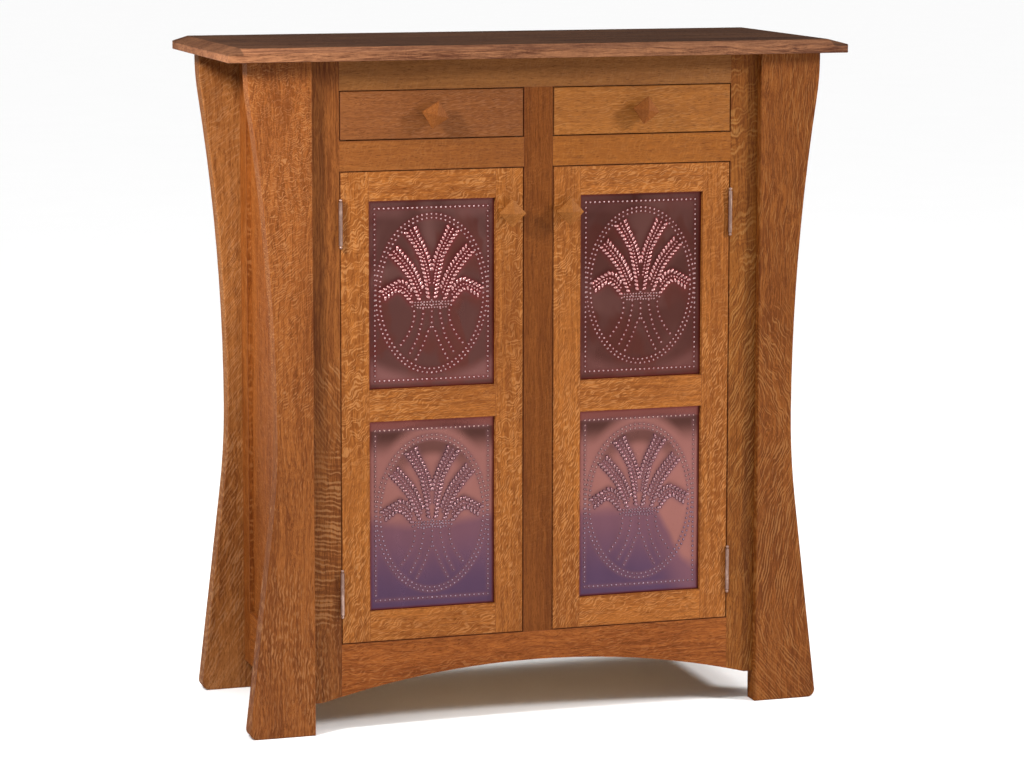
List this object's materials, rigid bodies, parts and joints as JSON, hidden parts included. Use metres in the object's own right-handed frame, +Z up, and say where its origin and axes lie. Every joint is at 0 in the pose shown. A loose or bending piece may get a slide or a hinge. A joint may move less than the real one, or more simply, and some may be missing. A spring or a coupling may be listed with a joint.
{
  "type": "pie safe",
  "caption": "Free-standing oak pie safe with an overhanging bevelled top, flared plank legs, drawers above and doors with punched copper panels below.",
  "frame": {"origin": "on the floor, under the middle of the top (the centre of the whole outline seen from above)", "axes": "+Z up, +X to the right seen from the front, +Y from the front to the back; the doors face -Y"},
  "size_m": [1.144, 0.455, 1.219],
  "materials": {
    "case_oak": "satin",
    "top_oak": "satin",
    "door_oak": "satin",
    "inner_wood": "matt",
    "copper_sheet": "aged, satin",
    "knob_oak": "satin",
    "hinge_metal": "aged, satin",
    "pin_steel": "bright",
    "catch_plastic": "matt"
  },
  "bodies": {
    "carcase": {"back_panel": "inner_wood", "back_top_rail": "inner_wood", "cupboard_floor": "inner_wood", "door_catches": "catch_plastic", "drawer_deck": "inner_wood", "drawer_guides": "inner_wood", "face_bottom_rail": "case_oak", "face_mid_rail_left": "case_oak", "face_mid_rail_right": "case_oak", "face_stile_centre": "case_oak", "face_stile_left": "case_oak", "face_stile_right": "case_oak", "face_top_rail": "case_oak", "hinge_frame_leaves": "hinge_metal", "hinge_pins": "hinge_metal", "post_back_left": "case_oak", "post_back_right": "case_oak", "post_front_left": "case_oak", "post_front_right": "case_oak", "shelf": "inner_wood", "shelf_pins": "pin_steel", "side_left_back_stile": "case_oak", "side_left_bottom_rail": "case_oak", "side_left_front_stile": "case_oak", "side_left_panel": "case_oak", "side_left_top_rail": "case_oak", "side_right_back_stile": "case_oak", "side_right_bottom_rail": "case_oak", "side_right_front_stile": "case_oak", "side_right_panel": "case_oak", "side_right_top_rail": "case_oak", "top": "top_oak"},
    "door_left": {"door_left_bottom_rail": "door_oak", "door_left_copper_lower": "copper_sheet", "door_left_copper_upper": "copper_sheet", "door_left_hinge_leaves": "hinge_metal", "door_left_hinge_stile": "door_oak", "door_left_knob": "knob_oak", "door_left_lock_stile": "door_oak", "door_left_mid_rail": "door_oak", "door_left_top_rail": "door_oak"},
    "door_right": {"door_right_bottom_rail": "door_oak", "door_right_copper_lower": "copper_sheet", "door_right_copper_upper": "copper_sheet", "door_right_hinge_leaves": "hinge_metal", "door_right_hinge_stile": "door_oak", "door_right_knob": "knob_oak", "door_right_lock_stile": "door_oak", "door_right_mid_rail": "door_oak", "door_right_top_rail": "door_oak"},
    "drawer_left": {"drawer_left_back": "inner_wood", "drawer_left_bottom": "inner_wood", "drawer_left_front": "door_oak", "drawer_left_knob": "knob_oak", "drawer_left_sides": "inner_wood"},
    "drawer_right": {"drawer_right_back": "inner_wood", "drawer_right_bottom": "inner_wood", "drawer_right_front": "door_oak", "drawer_right_knob": "knob_oak", "drawer_right_sides": "inner_wood"}
  },
  "joints": [
    {"name": "drawer_left_slide", "type": "slide", "parent": "carcase", "child": "drawer_left", "axis": [0, -1, 0], "range_m": [0, 0.29]},
    {"name": "drawer_right_slide", "type": "slide", "parent": "carcase", "child": "drawer_right", "axis": [0, -1, 0], "range_m": [0, 0.29]},
    {"name": "door_left_hinge", "type": "hinge", "parent": "carcase", "child": "door_left", "pos_m": [-0.3642, -0.1833, 0.579], "axis": [0, 0, -1], "range_deg": [0, 165]},
    {"name": "door_right_hinge", "type": "hinge", "parent": "carcase", "child": "door_right", "pos_m": [0.3642, -0.1833, 0.579], "axis": [0, 0, 1], "range_deg": [0, 165]}
  ]
}
